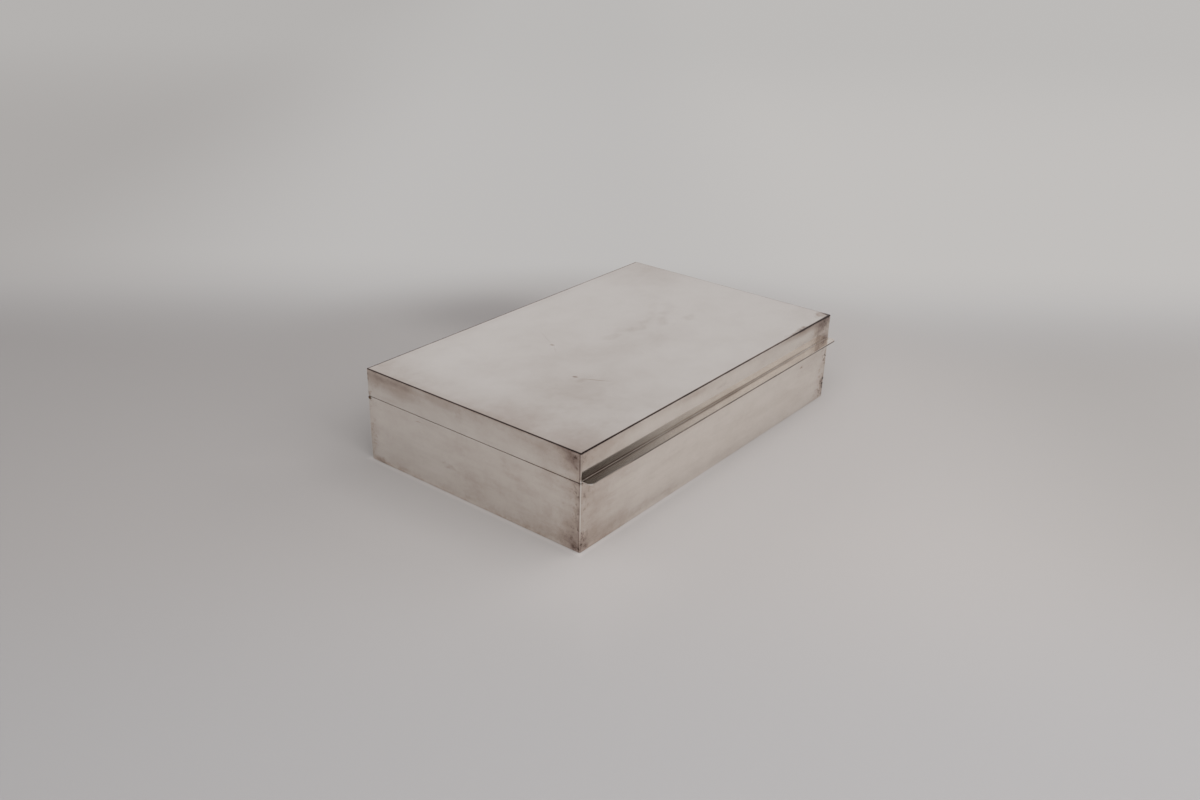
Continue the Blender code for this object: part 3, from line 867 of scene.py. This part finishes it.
def silver_finish(name, clean, polish):
    """Satin silver plate, under the sum of its tarnish.

    The sum is tarnish together with painted reflection and painted shade: the dark line round the top, the
    lip's dark lower front and some grey clouds on the top. clean is the colour of the bare metal and polish
    its roughness. A noise minus its mean, times a small number, makes the film or the roughness uneven.
    """
    material, tree = new_finish(name)
    at = Place(tree)
    noises = [tree.noise(at.vector, *row) for row in NOISES.values()]
    cloud, mottle, fine, rubbed, hairline, drawn = noises
    uneven = tree.ramp(cloud, 0.36, 0.64, 0.92, 1.08) * tree.ramp(mottle, 0.34, 0.66, 0.94, 1.06)
    patchy = tree.ramp(mottle, 0.34, 0.66, 0.55, 1.3) * tree.ramp(fine, 0.3, 0.7, 0.8, 1.2)
    streaky = tree.ramp(drawn, 0.35, 0.65, 0.4, 1.5)

    wide_bend = tree.push(at.vector, 70, 14 * MM)
    bend = tree.vector("ADD", wide_bend, tree.push(at.vector, 300, 4 * MM, shift=9))
    clouds = marks(tree, at.vector, (CLOUDS_SHORT_FACE, CLOUDS_LONG_FACE, CLOUDS_TOP)) * uneven
    smudges = marks(tree, at.vector, (SMUDGES_SHORT_FACE, SMUDGES_LONG_FACE, SMUDGES_TOP), bend) * patchy
    scratches = marks(tree, at.vector, ((), (), SCRATCHES_TOP))
    along_lip = marks(tree, at.vector, ((), ALONG_LIP, ())) * streaky

    haze = wide_haze(tree, at) * patchy * tree.ramp(cloud, 0.36, 0.64, 0.35, 1.3)
    lines = narrow_lines(tree, at) * tree.ramp(mottle, 0.3, 0.6, 0.8, 1)
    specks = tree.ramp(fine, 0.56, 0.64) * at.from_corner.fading(5) * at.on_wall
    specks = specks * tree.ramp(at.x, 90, 125, 0.3, 0.85)
    film = tree.ramp(cloud, 0.35, 0.7) * 0.04 + tree.ramp(mottle, 0.42, 0.7) * 0.025
    wall_film = tree.ramp(rubbed, 0.42, 0.72) * 0.035
    wall_film = wall_film + (mottle - 0.5) * 0.12 + (rubbed - 0.5) * 0.14 + (fine - 0.5) * 0.10
    film = film + wall_film * at.on_wall
    # tarnish, painted reflection and painted shade are added up here into one value
    tarnish_and_painted_shade = clouds + smudges + scratches + along_lip + haze + lines + specks + film
    tarnish_and_painted_shade = (tarnish_and_painted_shade * (1 - bright_edge(tree, at) * 0.9)).clamped()

    stops = (
        (0.00, clean),
        (0.15, tuple(part * share for part, share in zip(clean, FAINT_FILM))),
        (0.35, THIN_FILM),
        (0.60, BROWN_FILM),
        (0.80, DARK_FILM),
        (1.00, BLACK_FILM),
    )
    base = tree.node("ValToRGB", {"stops": stops}, {"Fac": tarnish_and_painted_shade})
    base = tree.mix(at.on_wall, base, WALL_TINT, "MULTIPLY")
    roughness = polish + tarnish_and_painted_shade * 0.15 + (fine - 0.5) * 0.05 + (cloud - 0.5) * 0.05
    roughness = roughness + (hairline - 0.5) * 0.03
    grain = mottle * 0.6 + fine * 0.15 + hairline * 0.15
    bump = tree.node("Bump", {}, {"Height": grain, "Strength": 0.10, "Distance": 0.05 * MM})
    close_finish(tree, {"Base Color": base, "Metallic": 1, "Roughness": roughness.clamped(),
                        "Normal": bump})
    return material


# %% Finish the silver
silver = silver_finish("silver_plate", colour(0.935, 0.900, 0.874), 0.09)
for piece in (body_shell, lid_shell, lip):
    piece.data.materials.append(silver)
for name in ("base_plate", "body_hinge_bearer", "lid_hinge_bearer"):
    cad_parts[name].data.materials.clear()
    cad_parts[name].data.materials.append(silver)
print(f"{silver.name}: {len(silver.node_tree.nodes)} nodes")

# %% Finish the hinge
def plain_metal_finish(name, clean, dark, roughness):
    """Dull metal with cloudy patches from its clean to its dark colour."""
    material, tree = new_finish(name)
    _, _, _, vector = tree.place()
    cloud = tree.noise(vector, 320, (0.4, 1, 1), 5, 0.6)
    scratch = tree.noise(vector, 60, (60, 1, 1), 3, 0.6)
    base = tree.mix(tree.ramp(cloud, 0.3, 0.7), clean, dark)
    bump = tree.node("Bump", {}, {"Height": cloud + scratch, "Strength": 0.2, "Distance": 0.03 * MM})
    close_finish(tree, {"Base Color": base, "Metallic": 1, "Roughness": roughness + (cloud - 0.5) * 0.3,
                        "Normal": bump})
    return material


BARE_PLATE = colour(0.48, 0.40, 0.33)
TARNISHED_PLATE = colour(0.16, 0.10, 0.07)
BARE_BRASS = colour(0.60, 0.42, 0.20)
TARNISHED_BRASS = colour(0.22, 0.13, 0.06)
hinge_metal = plain_metal_finish("tarnished_plate", BARE_PLATE, TARNISHED_PLATE, 0.38)
brass = plain_metal_finish("brass_pin", BARE_BRASS, TARNISHED_BRASS, 0.4)
for piece in knuckles:
    piece.data.materials.append(hinge_metal)
pin.data.materials.append(brass)
print(f"{len(knuckles)} tubes in {hinge_metal.name}, the pin in {brass.name}")

# %% [markdown]
# ## Cedar
#
# Boxes like this one are lined with thin cedar boards: pinkish brown, straight in the grain, planed and
# left bare. Growth rings that a saw cuts along become long streaks. The pattern is noise that is drawn out
# along the grain: narrow streaks, broad ones under them, and fine dark pores over both.

# %% Make the two cedar finishes
CEDAR_TONES = (
    # value of the streak noise, colour
    (0.34, colour(0.52, 0.325, 0.205)),
    (0.48, colour(0.45, 0.262, 0.16)),
    (0.58, colour(0.36, 0.192, 0.112)),
    (0.68, colour(0.47, 0.285, 0.175)),
)
PORE_TONE = colour(0.20, 0.09, 0.045)
ALONG_GRAIN = 0.016


def cedar_finish(name, stretch):
    """Cedar whose grain runs along the axis where stretch is smallest.

    Seven tenths of narrow streaks plus three tenths of broad ones choose the tone, and pores darken it.
    """
    material, tree = new_finish(name)
    _, _, _, vector = tree.place()
    ring = tree.noise(vector, 120, stretch, 3, 0.5)
    broad = tree.noise(vector, 22, stretch, 2, 0.5, shift=2)
    pores = tree.noise(vector, 900, stretch, 2, 0.5, shift=5)
    streak = ring * 0.7 + broad * 0.3
    wood = tree.node("ValToRGB", {"stops": CEDAR_TONES}, {"Fac": streak})
    base = tree.mix(tree.ramp(pores, 0.54, 0.68, 0, 0.45), wood, PORE_TONE)
    bump = tree.node("Bump", {}, {"Height": pores * -1 + streak, "Strength": 0.3, "Distance": 0.08 * MM})
    close_finish(tree, {"Base Color": base, "Roughness": 0.62 + (pores - 0.5) * 0.3, "Normal": bump,
                        "Specular IOR Level": 0.35})
    return material


cedar_along_x = cedar_finish("cedar_along_x", (ALONG_GRAIN, 1, 1))
cedar_along_y = cedar_finish("cedar_along_y", (1, ALONG_GRAIN, 1))
for name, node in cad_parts.items():
    if "lining" in name:
        crosswise = any(word in name for word in ("left", "right", "divider"))
        node.data.materials.clear()
        node.data.materials.append(cedar_along_y if crosswise else cedar_along_x)
        print(f"{name}: grain along {'y' if crosswise else 'x'}")

# %% [markdown]
# ## The studio
#
# The photograph was taken on a pale seamless sheet in an unlit room, under soft light from several sides.
# The metal shows all of that: the pale floor in its sides, the sheet behind it in its top, and the dark
# room in its rounded edges and on its lip. So the world is painted by direction: a pale band low down with
# one dark gap, and the dark room above it. Mirrors also see a soft light overhead, so that the lid isn't
# black from high up.

# %% The floor
# how far the camera's view is turned from +Y towards +X, in degrees
VIEW_TURN = 51.4218
# the paper's own tone, then its painted shade to the left, right and front, a painted shadow behind the box
# and painted light at the box's foot
PAPER = colour(0.486, 0.464, 0.455)
PAPER_IN_SHADE = colour(0.418, 0.399, 0.395)
PAPER_AT_RIGHT = colour(0.415, 0.397, 0.387)
PAPER_IN_FRONT = colour(0.440, 0.430, 0.432)
PAPER_IN_PAINTED_SHADOW = colour(0.370, 0.350, 0.346)
PAPER_PAINTED_BOUNCE = colour(0.680, 0.650, 0.640)
# tones of the glow further out, as painted light and shade: darker to the left and in front, paler behind
# and to the right
FRONT_LEFT = colour(0.370, 0.355, 0.352)
FRONT_RIGHT = colour(0.450, 0.438, 0.437)
BACK_LEFT = colour(0.412, 0.396, 0.386)
BACK_MIDDLE = colour(0.505, 0.493, 0.485)
BACK_RIGHT = colour(0.535, 0.520, 0.508)
BACK_FAR = colour(0.485, 0.475, 0.465)
SHEET_TONE = colour(0.530, 0.517, 0.511)
FLOOR_RADIUS = 12


def near_paper(tree, x, y, across, behind):
    """The paper's colour round the box, which the lamps light.

    Light and shade are painted into it too: painted shade to the left, to the right and in front, a painted
    shadow of the box behind it, and painted light close to the walls, where the metal throws light back: a
    narrow strip along the left half, and a wide one along the left end.
    """
    # painted shade: the paper is darker to the left, to the right and towards the front
    tone = tree.mix(tree.ramp(across, -60, -230, 0, 0.6), PAPER, PAPER_IN_SHADE)
    tone = tree.mix(tree.ramp(across, 150, 380), tone, PAPER_AT_RIGHT)
    tone = tree.mix(tree.ramp(behind, -120, -320), tone, PAPER_IN_FRONT)
    # a painted shadow of the box on the paper behind it
    from_painted_shadow = (((across + 100) / 95) ** 2 + ((behind - 200) / 75) ** 2) ** 0.5
    tone = tree.mix(tree.ramp(from_painted_shadow, 1, 0.1, 0, 0.8), tone, PAPER_IN_PAINTED_SHADOW)
    beside_box = (abs(x) - HALF_LENGTH / MM).most(abs(y) - HALF_DEPTH / MM)
    # painted light that the metal throws back onto the paper close to the walls
    painted_bounce = tree.ramp(beside_box, 4, 0.2) * tree.ramp(x, 40, -60, 0, 0.32)
    painted_bounce = painted_bounce + tree.ramp(beside_box, 80, 5) * tree.ramp(x, -90, -135, 0, 0.12)
    return tree.mix(painted_bounce, tone, PAPER_PAINTED_BOUNCE)


def far_paper(tree, across, behind, distance):
    """The sheet's tone further out, in front of the box and behind it, which ends as one even tone."""
    # painted light and shade on the glow: darker to the left and in front, paler behind and to the right
    front_tone = tree.mix(tree.ramp(across, -450, 350), FRONT_LEFT, FRONT_RIGHT)
    back_tone = tree.mix(tree.ramp(across, -620, -200), BACK_LEFT, BACK_MIDDLE)
    back_tone = tree.mix(tree.ramp(across, 0, 250), back_tone, BACK_RIGHT)
    back_tone = tree.mix(tree.ramp(behind, 700, 1700, 0, 0.6), back_tone, BACK_FAR)
    at_back = tree.ramp(behind, 110, 350).most(tree.ramp(distance, 700, 2400))
    tone = tree.mix(at_back, front_tone, back_tone)
    return tree.mix(tree.ramp(distance, 4000, 11000), tone, SHEET_TONE)


def floor_finish():
    """A matte sheet near the box, which turns into a glow of the same tones further out.

    Only the camera and mirrors see the glow, so it sheds no light on the box. Two distances in millimetres
    choose the tone: behind runs away from the viewer, and across runs to the right.
    """
    material, tree = new_finish("floor")
    x, y, _, _ = tree.place()
    turn = math.radians(VIEW_TURN)
    across = x * math.cos(turn) - y * math.sin(turn)
    behind = x * math.sin(turn) + y * math.cos(turn)
    distance = (x ** 2 + y ** 2) ** 0.5
    near_tone = near_paper(tree, x, y, across, behind)
    far_tone = far_paper(tree, across, behind, distance)
    far_behind = tree.ramp(behind, 60, 260) * tree.ramp(distance, 200, 330)
    far = tree.ramp(distance, 260, 900).most(far_behind)
    by_camera = tree.node("LightPath", output="Is Camera Ray")
    by_mirrors = tree.node("LightPath", output="Is Glossy Ray")
    paper = tree.node("BsdfPrincipled", {}, {"Base Color": near_tone, "Roughness": 0.9,
                                             "Specular IOR Level": 0.1})
    glow = tree.node("Emission", {}, {"Color": far_tone, "Strength": 1})
    mixed = tree.node("MixShader", {}, {0: far * by_camera.most(by_mirrors), 1: paper, 2: glow})
    tree.node("OutputMaterial", {}, {"Surface": mixed})
    return material


bpy.ops.mesh.primitive_circle_add(vertices=96, radius=FLOOR_RADIUS, fill_type="NGON")
floor = bpy.context.active_object
floor.name = "floor"
floor.data.materials.append(floor_finish())
print(f"floor of {FLOOR_RADIUS} m radius")

# %% The world
# azimuth and elevation are a direction's compass angle and height, in degrees
ROOM_TONE = colour(0.034, 0.029, 0.025)
BACKDROP_TOP = colour(0.60, 0.585, 0.575)

world = bpy.data.worlds.new("studio")
bpy.context.scene.world = world
sky = Tree(world)
direction = sky.node("TexCoord", output="Generated")
dx, dy, dz = sky.node("SeparateXYZ", {}, {0: direction}, output=(0, 1, 2))
azimuth = dy.maths("ARCTAN2", dy, dx) * (180 / math.pi)
elevation = dz.maths("ARCSINE", dz) * (180 / math.pi)
band = sky.ramp(elevation, 30, 38, 1, 0)
overhead = sky.ramp(elevation, 36, 66, 0.2, 1) * sky.ramp(elevation, 32, 40)
overhead = overhead * sky.node("LightPath", output="Is Glossy Ray")


def gap(centre, half_width, soft):
    """1 inside a range of compass directions, in degrees from +X towards +Y, and 0 outside it."""
    return sky.ramp(abs(azimuth - centre), half_width, half_width + soft, 1, 0)


pale = band * (1 - gap(-60, 20.5, 8.5) * sky.ramp(elevation, 17, 21))
tone = sky.mix(pale.most(overhead), ROOM_TONE, SHEET_TONE)
seen = sky.node("LightPath", output="Is Camera Ray")
backdrop = sky.mix(sky.ramp(elevation, 0, 60), SHEET_TONE, BACKDROP_TOP)
background = sky.node("Background", {}, {"Color": sky.mix(seen, tone, backdrop), "Strength": 1})
sky.node("OutputWorld", {}, {"Surface": background})
print(f"{world.name}: {len(world.node_tree.nodes)} nodes")

# %% The lamps
LAMP_DISTANCE = 1.3
LAMPS = (
    # name, compass direction and height in degrees, size in metres, power in watts
    ("front_light", -90, 35, 1.0, 6.4),
    ("right_light", -30, 45, 1.0, 4.8),
    ("left_light", -150, 50, 1.0, 6.8),
    ("top_light", 0, 89, 1.5, 3.7),
)


def softbox(name, azimuth, elevation, size, power):
    """A square area lamp that looks at the box and that the metal doesn't mirror as a bright square.

    It hangs at LAMP_DISTANCE times (cos rise cos turn, cos rise sin turn, sin rise).
    """
    lamp = bpy.data.lights.new(name, "AREA")
    lamp.shape = "SQUARE"
    lamp.size = size
    lamp.energy = power
    holder = bpy.data.objects.new(name, lamp)
    turn = math.radians(azimuth)
    rise = math.radians(elevation)
    level = LAMP_DISTANCE * math.cos(rise)
    holder.location = (level * math.cos(turn), level * math.sin(turn), LAMP_DISTANCE * math.sin(rise))
    holder.rotation_euler = (math.radians(90 - elevation), 0, math.radians(azimuth + 90))
    holder.visible_glossy = False
    bpy.context.scene.collection.objects.link(holder)
    print(f"{name}: {power} watts from {azimuth} degrees round, {elevation} degrees up")


for lamp in LAMPS:
    softbox(*lamp)

# %% [markdown]
# ## The camera
#
# The view was worked out from the photograph: a 35 mm lens, at the height of a person leaning over the
# table, looking down by 25 degrees.

# %% Place the camera
CAMERA_PLACE = (-0.54182, -0.41283, 0.34043)
CAMERA_TURN = (64.6394, -1.3052, -VIEW_TURN)

camera = bpy.data.cameras.new("camera")
camera.lens = 35
camera.sensor_width = 36
view = bpy.data.objects.new("camera", camera)
view.location = CAMERA_PLACE
view.rotation_euler = [math.radians(angle) for angle in CAMERA_TURN]
bpy.context.scene.collection.objects.link(view)
bpy.context.scene.camera = view
bpy.context.scene.view_settings.view_transform = "Standard"
print(f"{camera.lens:.0f} mm lens, {view.location.length / MM:.0f} mm from the middle of the box's foot")
